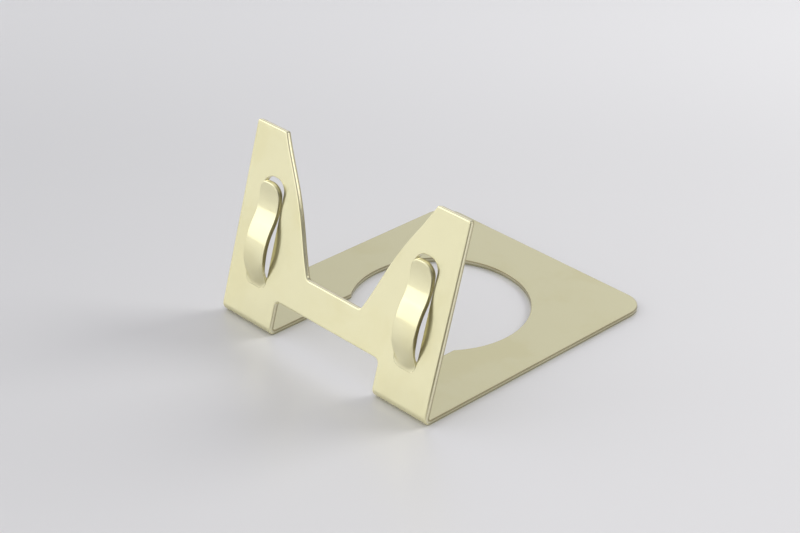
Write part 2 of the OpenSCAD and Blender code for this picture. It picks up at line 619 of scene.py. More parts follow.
@dataclass
class FoldedSheet:
    """The stand: base, folds, crossbar and ears, as the one sheet that they are.

    The thickness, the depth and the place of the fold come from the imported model. The other
    sizes follow the photograph. A reach is a length up the sheet from the corner line.

    Attributes:
        thickness: Thickness of the sheet.
        half_width: Half of the stand's width.
        rear_y: Y of the rear edge.
        fold: The bend at the feet.
        edge: The sheet's cut edge.
        widening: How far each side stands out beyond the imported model's.
        lean: Angle in degrees by which the ears lean back.
        fold_radius: Radius of the front face round the fold.
        rear_corner: Radius of the rear corners.
        hole_radius: Radius of the keyhole's round part.
        hole_inset: Distance of its centre from the rear edge.
        kink_radius: Radius where the round part meets the notch.
        foot_width: Width of each foot.
        web_radius: Radius of the inside corners at the crossbar.
        bar_low: Reach of the crossbar's lower edge.
        bar_width: Width of the crossbar, up the sheet.
        ear_width: Width of each ear along the top of the crossbar.
        ear_length: Reach of the ear's top.
        ear_top_width: Width of the ear's flat top.
        ear_bulge: How far the slanted edge is bowed out at its middle.
        ear_corner: Radius of the ear's top corners.
        tongue_inset: Distance from the ear's outer edge to the tongue's centre line.
        slot_half: Half of the slot's width.
        slot_inset: Distance from the ear's top down to the slot's.
        slot_corner: Radius of the slot's top corners.
        root_reach: Reach of the tongue's root.
        root_half: Half of the tongue's width at its root.
        root_corner: Radius of the root's corners.
        root_gap: Width of the cut round the root.
        slot_opens_over: Length over which the slot widens above the root.
        slot_roll: Share of the rolled lip round the slot.
        crease_roll: Share of it that is left round the crease.
    """

    thickness: float = field(init=False)
    half_width: float = field(init=False)
    rear_y: float = field(init=False)
    fold: Fold = field(init=False)
    edge: ShearedEdge = field(init=False)
    widening: float = 0.33 * MM
    lean: float = 15.6
    fold_radius: float = 1.5 * MM
    rear_corner: float = 4.5 * MM
    hole_radius: float = 16.65 * MM
    hole_inset: float = 27.6 * MM
    kink_radius: float = 0.5 * MM
    foot_width: float = 13.03 * MM
    web_radius: float = 1.0 * MM
    bar_low: float = 7.2 * MM
    bar_width: float = 6.63 * MM
    ear_width: float = 19.53 * MM
    ear_length: float = 37.18 * MM
    ear_top_width: float = 7.6 * MM
    ear_bulge: float = 0.65 * MM
    ear_corner: float = 0.5 * MM
    tongue_inset: float = 7.21 * MM
    slot_half: float = 2.67 * MM
    slot_inset: float = 8.68 * MM
    slot_corner: float = 2.3 * MM
    root_reach: float = 8.0 * MM
    root_half: float = 2.58 * MM
    root_corner: float = 1.4 * MM
    root_gap: float = 0.04 * MM
    slot_opens_over: float = 2.4 * MM
    slot_roll: float = 0.45
    crease_roll: float = 0.04

    # Steps along the rear edge, its corner, the side, the kink, the notch, the fold and the foot
    STRIP_STEPS = (24, 16, 50, 6, 14, 20, 10)
    # Steps down the end of the ear's slant, round the web and along the crossbar's top
    BAR_TOP_STEPS = (8, 8, 16)
    # Steps round the web and along the crossbar's lower edge, as many in all
    BAR_LOW_STEPS = (12, 20)
    # Steps up the ear's side, round its corner, over its top, round the next corner and down the slant
    EAR_STEPS = (90, 6, 8, 6, 30)
    # Steps across a foot, down the column beside the crossbar, and from the slot out to the ear's edge
    ACROSS = 24
    COLUMN = 60
    RADIAL = 8

    def __post_init__(self) -> None:
        """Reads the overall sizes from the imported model.

        The fold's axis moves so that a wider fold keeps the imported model's corner line.
        """
        base_low, base_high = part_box("base_plate")
        fold_low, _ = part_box("right_fold")
        self.thickness = base_high.z - base_low.z
        self.half_width = base_high.x + self.widening
        self.rear_y = base_high.y
        packed = Fold(base_low.y, base_low.y - fold_low.y, self.lean, self.thickness)
        grown = packed.tangent * (self.fold_radius / packed.radius - 1.0)
        self.fold = Fold(packed.axis_y + grown, self.fold_radius, self.lean, self.thickness)
        self.edge = ShearedEdge(self.thickness)

    @property
    def tongue_x(self) -> float:
        """X of the right tongue's centre line."""
        return self.half_width - self.tongue_inset

    @property
    def half_notch(self) -> float:
        """Half of the width of the notch between the feet."""
        return self.half_width - self.foot_width

    @property
    def rear_reach(self) -> float:
        """Reach of the rear edge, which is negative."""
        return self.fold.corner_y - self.rear_y

    @property
    def hole_centre(self) -> np.ndarray:
        """Centre of the keyhole's round part, across and up the flat sheet."""
        return np.array([0.0, self.rear_reach + self.hole_inset])

    def outline(self) -> Path:
        """Right half of the outer edge, from the middle of the rear to the middle of the crossbar's top.

        The ear's slanted edge bulges from its straight line by ear_bulge sin^2(pi u), where u
        runs from 0 at the top to 1 at the web. The sine squared leaves both ends smooth.

        Returns:
            The path, with its marks at the ends of the rear edge (0, 1), the side (2, 3), the
            ear's top (4, 5), the slanted edge (6, 7) and the crossbar's top (8, 9).
        """
        bar_high = self.bar_low + self.bar_width
        straight = joined(rounded(
            [
                (0.0, self.rear_reach), (self.half_width, self.rear_reach),
                (self.half_width, self.ear_length), (self.half_width - self.ear_top_width, self.ear_length),
                (self.half_width - self.ear_width, bar_high), (0.0, bar_high),
            ],
            [self.rear_corner, self.ear_corner, self.ear_corner, self.web_radius],
        ))
        first, last = straight.marks[6:8]
        share = np.clip((straight.lengths - first) / (last - first), 0.0, 1.0)
        bulge = self.ear_bulge * np.sin(np.pi * share) ** 2
        return straight.reshaped(straight.points + straight.normals * bulge[:, None])

    def keyhole(self) -> Path:
        """Right half of the keyhole, from the middle of the crossbar's lower edge to the rear of the hole.

        The notch's straight side meets the hole in a small round of its own. Its centre lies
        kink_radius into the metal from both, so it is hole_radius + kink_radius from the hole's.

        Returns:
            The path, with its marks at the ends of the crossbar's edge (0, 1), the notch's
            side (2, 3) and the round part (4, 5).
        """
        hole, side = self.hole_centre, self.half_notch
        spoke = self.hole_radius + self.kink_radius
        kink = hole + [side + self.kink_radius, math.sqrt(spoke**2 - (side + self.kink_radius) ** 2)]
        toward = math.degrees(math.atan2(*(kink - hole)[::-1]))
        return joined(
            rounded([(0.0, self.bar_low), (side, self.bar_low), (side, kink[1])], [self.web_radius])
            + [arc(kink, self.kink_radius, 180.0, 180.0 + toward), arc(hole, self.hole_radius, toward, -90.0)]
        )

    def slot(self) -> Path:
        """The right ear's slot, from the middle of its foot clockwise round.

        Below, it hugs the tongue's root. Further up its half-width grows in a smooth step from
        the root's to the slot's own.

        Returns:
            The path, with its marks at the ends of each straight side in turn.
        """
        snug, corner = self.root_half + self.root_gap, self.root_corner + self.root_gap
        low, high = self.root_reach - self.root_gap, self.ear_length - self.slot_inset
        narrow = joined(rounded(
            [(0.0, low), (-snug, low), (-snug, high), (snug, high), (snug, low), (0.0, low)],
            [corner, self.slot_corner, self.slot_corner, corner],
        ))
        points = narrow.points.copy()
        opened = smooth_step((points[:, 1] - low - self.root_corner) / self.slot_opens_over)
        points[:, 0] = self.tongue_x + points[:, 0] * (1.0 + (self.slot_half / snug - 1.0) * opened)
        return narrow.reshaped(points)

    def slot_lip(self, up: np.ndarray) -> np.ndarray:
        """Share of the rolled lip at a way up from the root: next to none at the crease, then the slot's own.

        It grows in a smooth step, from half the root's corner up over one corner more.

        Args:
            up: Way up the sheet from the tongue's root.

        Returns:
            The share at each.
        """
        rising = smooth_step((up - 0.5 * self.root_corner) / self.root_corner)
        return self.crease_roll + (self.slot_roll - self.crease_roll) * rising

    def strip_stations(self) -> Sampled:
        """Matching lengths on the outline and on the keyhole, from the rear up to the foot's web.

        Where both run up the foot, the two have the same reach. Round the hole, the outline's
        rear edge, corner and side each face the stretch of the hole that lies before them.

        Returns:
            Lengths on the outline, and as many on the keyhole.
        """
        out, key = self.outline(), self.keyhole()
        corners, _ = out.at(np.array(out.marks[1:3]))
        across, up = (corners - self.hole_centre).T
        faced = key.marks[5] - (np.arctan2(up, across) + math.pi / 2) * self.hole_radius
        _, levels = key.at(np.array([key.marks[4], key.marks[3], key.marks[2]]))[0].T
        kink, notch, web = levels
        tangent = self.fold.tangent
        outer = [
            *out.marks[:3], out.where(1, kink, 2, 3), out.where(1, notch, 2, 3),
            *(out.where(1, reach, 2, 3) for reach in (-tangent, tangent, web)),
        ]
        inner = [
            key.marks[5], *faced, key.marks[4], key.marks[3],
            *(key.where(1, reach, 2, 3) for reach in (-tangent, tangent, web)),
        ]
        return stepped(outer, self.STRIP_STEPS), stepped(inner, self.STRIP_STEPS)

    def bar_stations(self) -> Sampled:
        """Matching lengths over the crossbar, from the ear to the middle.

        Returns:
            Lengths on the outline, and as many on the keyhole.
        """
        out, key = self.outline(), self.keyhole()
        upper = stepped((out.where(0, self.half_notch, 6, 7), *out.marks[7:10]), self.BAR_TOP_STEPS)
        return upper, stepped(key.marks[2::-1], self.BAR_LOW_STEPS)

    def ring_stations(self) -> Sampled:
        """Lengths on the outline round the ear, and on the slot all the way round.

        The slot's lengths run backwards, so that both go anticlockwise. They have one entry
        for each point on the foot's top line, the outline and the column beside the crossbar.

        Returns:
            Lengths on the outline, and those on the slot.
        """
        out, key, slot = self.outline(), self.keyhole(), self.slot()
        web = key.at(np.array(key.marks[2:3]))[0][0, 1]
        ends = out.where(1, web, 2, 3), out.where(0, self.half_notch, 6, 7)
        outer = stepped((ends[0], *out.marks[3:7], ends[1]), self.EAR_STEPS)
        foot = (slot.marks[1] + slot.marks[2]) / 2
        head = (slot.marks[3] + slot.marks[4]) / 2
        total = slot.total
        side, corner, top, other, slant = self.EAR_STEPS
        inner = stepped(
            (-foot, foot, head, total - head, total - foot),
            (self.ACROSS, side, corner + top + other, slant + self.COLUMN),
        )
        return outer, total - np.mod(inner, total)

    def skin(self, face: Face) -> list[Patch]:
        """The flat faces of the right half on one side of the sheet, still unfolded.

        Three grids cover it: a strip from the rear to the foot's web, the crossbar with the
        column beside it, and a ring from the slot out to all that surrounds it.

        Args:
            face: Side of the sheet.

        Returns:
            The three patches.
        """
        front = face is Face.FRONT
        inset = self.edge.roll_reach if front else self.edge.back_inset
        out, key, slot = self.outline(), self.keyhole(), self.slot()

        def border(path: Path, stations: np.ndarray, share: np.ndarray | float = 1.0) -> np.ndarray:
            """Points of a path drawn in by the edge's inset."""
            at, normal = path.at(stations)
            return at - normal * inset * np.broadcast_to(share, len(stations))[:, None]

        strip_out, strip_in = self.strip_stations()
        strip = ruled(border(key, strip_in), border(out, strip_out), self.ACROSS)
        bar_out, bar_in = self.bar_stations()
        bar = ruled(border(key, bar_in), border(out, bar_out), self.COLUMN)
        ring_out, ring_in = self.ring_stations()
        share = self.slot_lip(slot.at(ring_in)[0][:, 1] - self.root_reach) if front else 1.0
        round_ear = np.concatenate([strip[-1, :-1], border(out, ring_out), bar[0, ::-1][1:]])
        ring = ruled(border(slot, ring_in, share), round_ear, self.RADIAL)
        patches = []
        for grid in (strip, bar, ring):
            height = np.full(grid.shape[:2] + (1,), 0.0 if front else -self.thickness)
            normals = np.broadcast_to([0.0, 0.0, 1.0 if front else -1.0], grid.shape[:2] + (3,))
            patches.append(Patch(np.concatenate([grid, height], axis=-1), normals))
        return patches

    def rims(self) -> list[Patch]:
        """The cut edges of the right half, still unfolded.

        Returns:
            Patches along the outline, the keyhole and the slot.
        """
        out, key, slot = self.outline(), self.keyhole(), self.slot()
        strip_out, strip_in = self.strip_stations()
        bar_out, bar_in = self.bar_stations()
        ring_out, ring_in = self.ring_stations()
        runs = (
            (out, np.concatenate([strip_out[:-1], ring_out[:-1], bar_out]), 1.0),
            (key, np.concatenate([strip_in[:-1], bar_in]), 1.0),
            (slot, ring_in, self.slot_lip(slot.at(ring_in)[0][:, 1] - self.root_reach)),
        )
        return [patch for path, stations, share in runs for patch in self.edge.carried(path, stations, share)]

    def folded(self, patch: Patch) -> Patch:
        """A flat patch bent to shape.

        Args:
            patch: The patch, as across, reach and height.

        Returns:
            The patch in the frame.
        """
        swollen = self.fold.swell(patch.points, self.half_width - self.foot_width / 2, self.foot_width / 2)
        turned = self.fold.direct(patch.points, patch.normals)
        return replace(patch, points=self.fold.place(swollen), normals=turned)

    def build(self, finishes: list[bpy.types.Material]) -> bpy.types.Object:
        """Builds the stand as one closed skin and lets it stand for its six nodes.

        Args:
            finishes: The material of the faces, then that of the sheared walls.

        Returns:
            The stand's object.
        """
        right = [self.folded(p) for p in self.skin(Face.FRONT) + self.skin(Face.BACK) + self.rims()]
        piece = weld_patches("folded_sheet", right + [p.mirrored() for p in right], finishes)
        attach(piece, "stand")
        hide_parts("base_plate", "left_fold", "right_fold", "cross_bar", "left_ear", "right_ear")
        return piece


@dataclass
class SpringTongue:
    """One spring tongue, bowed forward out of its ear.

    Seen from the front it is a strip with rounded ends. Its front face stands out of the ear
    by a height that depends on the way up it, in arcs: a crease, the lower and upper bow, the
    neck that presses on the card, and a straight flare.

    Attributes:
        sheet: The stand, whose ear carries it.
        side: Side of the holder.
        half: Half of its width.
        root_corner: Radius of the corners at its root.
        tip_corner: Radius of the corners at its tip.
        tip_gap: Clear space from its tip to the top of the slot.
        crease_radius: Front radius of the crease at its root.
        rise: Angle in degrees at which it leaves the ear.
        fall: Slope in degrees at which the bow returns to the ear.
        neck_radius: Front radius of the neck.
        neck_out: How far the neck stands out of the ear.
        flare: Angle in degrees at which the tip flares forward.
        flare_length: Straight length of the flare.
        spoon_depth: How much later the crease starts at the strip's sides than at its middle.
        spoon_length: Length over which that delay fades out.
        crown: How much lower the sides of the front face are than its middle.
        drawn_thin: Share of the thickness that was drawn out of the strip above the crease.
    """

    sheet: FoldedSheet
    side: Side
    half: float = 2.58 * MM
    root_corner: float = 1.4 * MM
    tip_corner: float = 2.2 * MM
    tip_gap: float = 0.58 * MM
    crease_radius: float = 1.78 * MM
    rise: float = 30.5
    fall: float = 18.9
    neck_radius: float = 10.28 * MM
    neck_out: float = 0.67 * MM
    flare: float = 15.67
    flare_length: float = 1.55 * MM
    spoon_depth: float = 1.15 * MM
    spoon_length: float = 5.0 * MM
    crown: float = 0.03 * MM
    drawn_thin: float = 0.06

    # Steps round a root corner, up the side and round a tip corner
    SIDE_STEPS = (14, 150, 14)
    ACROSS = 22
    # Points of the side view in the bends are this far apart, in degrees
    BEND_STEP = 0.25
    # The side view's flare runs on to this many times its length, past the tip
    FLARE_OVERRUN = 1.5
    # Slopes of the front face are taken over this far to either side
    SLOPE_STEP = 0.02 * MM

    @property
    def tip(self) -> float:
        """Height of the front face's tip above the root."""
        slot_high = self.sheet.ear_length - self.sheet.slot_inset - self.sheet.root_reach
        return slot_high - self.tip_gap - self.sheet.thickness * math.sin(math.radians(self.flare))

    def bends(self) -> list[tuple[float, float]]:
        """The bends in order, from the crease to the neck.

        The crease, the neck and the flare are given. The two halves of the bow share the
        height and the standing out that are left: with sag = 1 - cos, low sin(rise) + high
        sin(fall) = height, and low sag(rise) - high sag(fall) = gain.

        Returns:
            Radius and turn of each, where a turn in degrees is positive if it is forward.
        """
        sin_rise, sin_fall, sin_flare = (
            math.sin(math.radians(angle)) for angle in (self.rise, self.fall, self.flare)
        )
        sag_rise, sag_fall = (1 - math.cos(math.radians(angle)) for angle in (self.rise, self.fall))
        height = self.tip - self.crease_radius * sin_rise - self.neck_radius * (sin_fall + sin_flare)
        height -= self.flare_length * math.cos(math.radians(self.flare))
        gain = self.neck_out - self.crease_radius * sag_rise + self.neck_radius * sag_fall
        both = sin_rise * sag_fall + sin_fall * sag_rise
        low = (height * sag_fall + gain * sin_fall) / both
        high = (height * sag_rise - gain * sin_rise) / both
        return [
            (self.crease_radius, self.rise), (low, -self.rise), (high, -self.fall),
            (self.neck_radius, self.fall + self.flare),
        ]

    def standing_out(self, up: np.ndarray) -> np.ndarray:
        """Height of the front face out of the ear along the strip's middle.

        Each bend of radius r that turns the strip from the angle a to b goes on by r times
        the change of (sin, -cos), and the flare goes straight on.

        Args:
            up: Way up the ear from the tongue's root.

        Returns:
            The height at each, which is 0 below the root.
        """
        ways, outs, angle, at = [np.zeros(1)], [np.zeros(1)], 0.0, np.zeros(2)
        for radius, turn in self.bends():
            angles = np.radians(angle + np.linspace(0.0, turn, 2 + int(abs(turn) / self.BEND_STEP)))[1:]
            first = np.array([math.sin(math.radians(angle)), -math.cos(math.radians(angle))])
            arm = np.stack([np.sin(angles), -np.cos(angles)], axis=-1)
            spots = at + math.copysign(radius, turn) * (arm - first)
            ways.append(spots[:, 0])
            outs.append(spots[:, 1])
            at, angle = spots[-1], angle + turn
        end = at + self.flare_length * self.FLARE_OVERRUN * heading(angle)
        way, out = np.concatenate(ways + [end[:1]]), np.concatenate(outs + [end[1:]])
        return np.interp(np.maximum(up, 0.0), way, out)

    def lift(self, across: np.ndarray, up: np.ndarray) -> np.ndarray:
        """Height of the front face out of the ear anywhere on the tongue.

        The crease follows the rounded foot of the strip, so towards the sides it starts later,
        by spoon_depth |across / half|^3. That delay fades out over the spoon's length. A slight
        crown falls away with (across / half)^2.

        Args:
            across: Place across the strip, from its middle.
            up: Way up the ear from the tongue's root.

        Returns:
            The height at each point.
        """
        start = self.spoon_depth * np.abs(across / self.half) ** 3
        delay = start * (1.0 - smooth_step((up - start) / self.spoon_length))
        domed = self.crown * smooth_step(up / self.spoon_length) * (across / self.half) ** 2
        return self.standing_out(up - delay) - domed

    def surface(self, across: np.ndarray, up: np.ndarray) -> Sampled:
        """Front face and its normals, in the ear's own across, up and out.

        The normal is (-d out / d across, -d out / d up, 1), made a unit vector, with the
        slopes taken over a small step to either side.

        Args:
            across: Place across the strip, from its middle.
            up: Way up the ear from the tongue's root.

        Returns:
            Points and unit normals.
        """
        step, out = self.SLOPE_STEP, self.lift(across, up)
        below = np.maximum(up - step, 0.0)
        slope_across = (self.lift(across + step, up) - self.lift(across - step, up)) / (2 * step)
        slope_up = (self.lift(across, up + step) - self.lift(across, below)) / (up + step - below)
        normal = np.stack([-slope_across, -slope_up, np.ones_like(out)], axis=-1)
        return np.stack([across, up, out], axis=-1), normal / np.linalg.norm(normal, axis=-1, keepdims=True)

    def left_thick(self, up: np.ndarray) -> np.ndarray:
        """Share of the thickness that the bowing left: all of it at the root, less above the crease."""
        return 1.0 - self.drawn_thin * smooth_step((up - self.root_corner) / (2.0 * self.root_corner))

    def sides(self) -> Sampled:
        """Points and outward normals up the right side of the strip, from its foot to its head.

        Returns:
            Points as across and up, and their unit normals.
        """
        half_outline = joined(rounded(
            [(0.0, 0.0), (self.half, 0.0), (self.half, self.tip), (0.0, self.tip)],
            [self.root_corner, self.tip_corner],
        ))
        return half_outline.at(stepped(half_outline.marks[1:5], self.SIDE_STEPS))

    def lips(self, up: np.ndarray) -> np.ndarray:
        """Share of the rolled lip round the strip: the slot's own up the sides, and all of it at the tip.

        Args:
            up: Way up the strip from its root.

        Returns:
            The share at each.
        """
        at_tip = smooth_step((up - self.tip + 1.5 * self.tip_corner) / self.tip_corner)
        return self.sheet.slot_lip(up) + (1.0 - self.sheet.slot_roll) * at_tip

    def patches(self) -> list[Patch]:
        """The tongue's rim and faces, in the ear's own across, up and out.

        The edge is carried round the strip, up its right side, over its tip, down its left
        side and back along its root. It sinks along the front face's normal, and its wall
        leans with that face. Each face is a grid between the rim's left and right sides.

        Returns:
            The rim's two patches, then the front face and the back.
        """
        edge, flip = self.sheet.edge, np.array([-1.0, 1.0])
        side, out = self.sides()
        share = np.linspace(-1.0, 1.0, self.ACROSS + 1)[1:-1]
        between = np.stack([share, np.ones_like(share)], axis=-1)
        loop = np.concatenate([
            side, side[-1] * between * flip, (side * flip)[::-1], side[0] * between, side[:1],
        ])
        outward = np.concatenate([
            out, np.repeat(out[-1:], len(share), axis=0), (out * flip)[::-1],
            np.repeat(out[:1], len(share), axis=0), out[:1],
        ])
        walked = np.concatenate([[0.0], np.cumsum(np.linalg.norm(np.diff(loop, axis=0), axis=1))])

        section = edge.section(self.lips(loop[:, 1]))
        flat = loop[:, None] - outward[:, None] * section.inset[..., None]
        face, normal = self.surface(flat[..., 0], flat[..., 1])
        points = face - normal * (section.depth * self.left_thick(flat[..., 1]))[..., None]
        level = np.pad(outward, ((0, 0), (0, 1)))[:, None]
        wall = level - normal * np.sum(level * normal, axis=-1, keepdims=True)
        wall /= np.linalg.norm(wall, axis=-1, keepdims=True)
        normals = wall * section.bend[:, 1:] + normal * section.bend[:, :1]
        made = edge.dressed(points, normals, walked, section)

        left_from = len(side) + len(share)
        for column, below, facing in ((0, 0.0, 1.0), (-1, edge.thickness, -1.0)):
            right = flat[: len(side), column]
            left = flat[left_from : left_from + len(side), column][::-1]
            across, up = np.moveaxis(ruled(left, right, self.ACROSS), -1, 0)
            face, normal = self.surface(across, up)
            made.append(Patch(face - normal * (below * self.left_thick(up))[..., None], normal * facing))
        return made

    def placed(self, patch: Patch) -> Patch:
        """A patch moved from the ear's own directions into the frame.

        Args:
            patch: The patch, as across from the strip's middle, up from its root, and out.

        Returns:
            The patch in its place on the tongue's own side.
        """
        sheet = self.sheet
        flat = patch.points + np.array([sheet.tongue_x, sheet.root_reach, 0.0])
        turned = sheet.fold.direct(flat, patch.normals)
        moved = replace(patch, points=sheet.fold.place(flat), normals=turned)
        return moved if self.side is Side.RIGHT else moved.mirrored()

    def build(self, finishes: list[bpy.types.Material]) -> bpy.types.Object:
        """Builds the tongue as one closed skin and lets it stand for its node.

        Args:
            finishes: The material of the faces, then that of the sheared walls.

        Returns:
            The tongue's object.
        """
        word = self.side.value
        piece = weld_patches(f"{word}_tongue_strip", [self.placed(p) for p in self.patches()], finishes)
        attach(piece, f"{word}_tongue")
        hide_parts(f"{word}_spring_tongue")
        return piece


class NodeTree:
    """A shader tree with short ways to add nodes and join them."""

    def __init__(self, tree: bpy.types.NodeTree) -> None:
        """Takes the tree and empties it."""
        self.tree = tree
        tree.nodes.clear()

    def add(
        self, kind: str, inputs: dict[int | str, Feed] | None = None, **settings: object
    ) -> bpy.types.Node:
        """Adds a node.

        Args:
            kind: Blender's name of the node, without its ShaderNode.
            inputs: Values of its inputs, or the sockets that feed them, by name or place.
            **settings: Properties of the node.

        Returns:
            The node.
        """
        node = self.tree.nodes.new(kind if kind.startswith("Node") else "ShaderNode" + kind)
        for key, value in settings.items():
            setattr(node, key, value)
        for key, value in (inputs or {}).items():
            if isinstance(value, Socket):
                self.tree.links.new(value, node.inputs[key])
            else:
                node.inputs[key].default_value = value
        return node

    def placed(self, group: bpy.types.NodeTree, inputs: dict[str, Feed]) -> list[Socket]:
        """Outputs of a group that is placed in the tree with these inputs."""
        return list(self.add("Group", inputs, node_tree=group).outputs)

    def plus(self, first: Feed, second: Feed) -> Socket:
        """Sum of two values."""
        return self.add("Math", {0: first, 1: second}, operation="ADD").outputs[0]

    def times(self, first: Feed, second: Feed) -> Socket:
        """Product of two values."""
        return self.add("Math", {0: first, 1: second}, operation="MULTIPLY").outputs[0]

    def measure(self, operation: str, first: Feed, second: Feed) -> Socket:
        """Number that a Vector Math node makes of two vectors, such as DOT_PRODUCT or DISTANCE."""
        return self.add("VectorMath", {0: first, 1: second}, operation=operation).outputs["Value"]

    def blend(self, share: Feed, first: Socket | Tint, second: Socket | Tint) -> Socket:
        """Colour between two colours by a share."""
        ends = [end if isinstance(end, Socket) else (*end, 1.0) for end in (first, second)]
        return self.add("Mix", {0: share, 6: ends[0], 7: ends[1]}, data_type="RGBA").outputs[2]

    def spread(self, value: Feed, band: Band, to: Band = (0.0, 1.0)) -> Socket:
        """Value mapped in a smooth step from one range to another, and held within it."""
        inputs = dict(enumerate((value, *band, *to)))
        return self.add("MapRange", inputs, interpolation_type="SMOOTHSTEP").outputs[0]


@dataclass
class Effects:
    """Shader groups that the finishes share, each built once. Their scales are counts in a metre.

    Attributes:
        runs: How often a line of the grain starts along its way.
        waves: Slow waves of the sheet.
        warps: Waves of the noise that warps the smudges.
        warp_push: How far it pushes them, in metres.
        smudges: Smudges.
        smudge_band: Noise at which a smudge begins and is full.
        specks: Cells that may hold a speck of dust.
        speck_band: Share of a cell at which its speck begins to end and has ended.
        grain: The group of the rolling mill's lines and the sheet's waves.
        smudge: The group of the smudges.
        dust: The group of the specks.
    """

    runs: float = 180.0
    waves: float = 85.0
    warps: float = 120.0
    warp_push: float = 8 * MM
    smudges: float = 70.0
    smudge_band: Band = (0.42, 0.72)
    specks: float = 420.0
    speck_band: Band = (0.03, 0.075)
    grain: bpy.types.NodeTree = field(init=False)
    smudge: bpy.types.NodeTree = field(init=False)
    dust: bpy.types.NodeTree = field(init=False)

    def __post_init__(self) -> None:
        """Builds the groups."""
        self.grain = self.rolled_grain()
        self.smudge = self.hand_smudges()
        self.dust = self.settled_dust()

    @staticmethod
    def group(
        name: str, numbers: dict[str, float], outputs: tuple[str, ...]
    ) -> tuple[NodeTree, bpy.types.Node, bpy.types.Node]:
        """An empty group that takes a place and some numbers.

        Args:
            name: The group's name.
            numbers: Default of each number that it takes, by name. Its first input is the place.
            outputs: Names of the outputs, all numbers.

        Returns:
            The group's tree, its input node and its output node.
        """
        made = bpy.data.node_groups.new(name, "ShaderNodeTree")
        tree = NodeTree(made)
        made.interface.new_socket(name="Place", in_out="INPUT", socket_type="NodeSocketVector")
        for label, default in numbers.items():
            socket = made.interface.new_socket(name=label, in_out="INPUT", socket_type="NodeSocketFloat")
            socket.default_value = default
        for label in outputs:
            made.interface.new_socket(name=label, in_out="OUTPUT", socket_type="NodeSocketFloat")
        return tree, tree.add("NodeGroupInput"), tree.add("NodeGroupOutput")

    def rolled_grain(self) -> bpy.types.NodeTree:
        """Fine lines that the rolling mill leaves up the sheet, and slow waves in the sheet itself.

        Returns:
            The group, which takes the number of lines in a millimetre.
        """
        tree, enter, leave = self.group("rolled grain", {"Lines per mm": 9.0}, ("Grain", "Waves"))
        scale = tree.add("CombineXYZ", {0: tree.times(enter.outputs[1], 1 / MM), 1: self.runs, 2: self.runs})
        stretched = tree.add("VectorMath", {0: enter.outputs[0], 1: scale.outputs[0]}, operation="MULTIPLY")
        lines = tree.add("TexNoise", {
            "Vector": stretched.outputs[0], "Scale": 1.0, "Detail": 3.0, "Roughness": 0.6,
        })
        waves = tree.add("TexNoise", {
            "Vector": enter.outputs[0], "Scale": self.waves, "Detail": 1.5, "Roughness": 0.45,
        })
        tree.tree.links.new(lines.outputs[0], leave.inputs[0])
        tree.tree.links.new(waves.outputs[0], leave.inputs[1])
        return tree.tree

    def hand_smudges(self) -> bpy.types.NodeTree:
        """Soft patches where hands have dulled the shine, from noise warped by noise.

        Returns:
            The group.
        """
        tree, enter, leave = self.group("hand smudges", {}, ("Smudge",))
        warp = tree.add("TexNoise", {"Vector": enter.outputs[0], "Scale": self.warps, "Detail": 2.0})
        pushed = tree.add("VectorMath", {
            0: warp.outputs[1], 1: (self.warp_push,) * 3, 2: enter.outputs[0],
        }, operation="MULTIPLY_ADD")
        patches = tree.add("TexNoise", {
            "Vector": pushed.outputs[0], "Scale": self.smudges, "Detail": 4.0, "Roughness": 0.55,
        })
        tree.tree.links.new(tree.spread(patches.outputs[0], self.smudge_band), leave.inputs[0])
        return tree.tree

    def settled_dust(self) -> bpy.types.NodeTree:
        """Scattered specks: the middles of a few cells of a fine cell pattern.

        Returns:
            The group, which takes the share of the cells that hold a speck.
        """
        tree, enter, leave = self.group("settled dust", {"Amount": 0.05}, ("Dust",))
        cells = tree.add("TexVoronoi", {"Vector": enter.outputs[0], "Scale": self.specks})
        drawn = tree.add("SeparateColor", {0: cells.outputs[1]}).outputs[0]
        chosen = tree.add("Math", {0: drawn, 1: enter.outputs[1]}, operation="LESS_THAN").outputs[0]
        middle = tree.spread(cells.outputs[0], self.speck_band, (1.0, 0.0))
        tree.tree.links.new(tree.times(chosen, middle), leave.inputs[0])
        return tree.tree


def new_material(name: str) -> tuple[bpy.types.Material, NodeTree, Socket]:
    """An empty material.

    Args:
        name: The material's name.

    Returns:
        The material, its tree, and the socket that gives a point's place on the object.
    """
    made = bpy.data.materials.new(name)
    made.use_nodes = True
    tree = NodeTree(made.node_tree)
    return made, tree, tree.add("TexCoord").outputs["Object"]


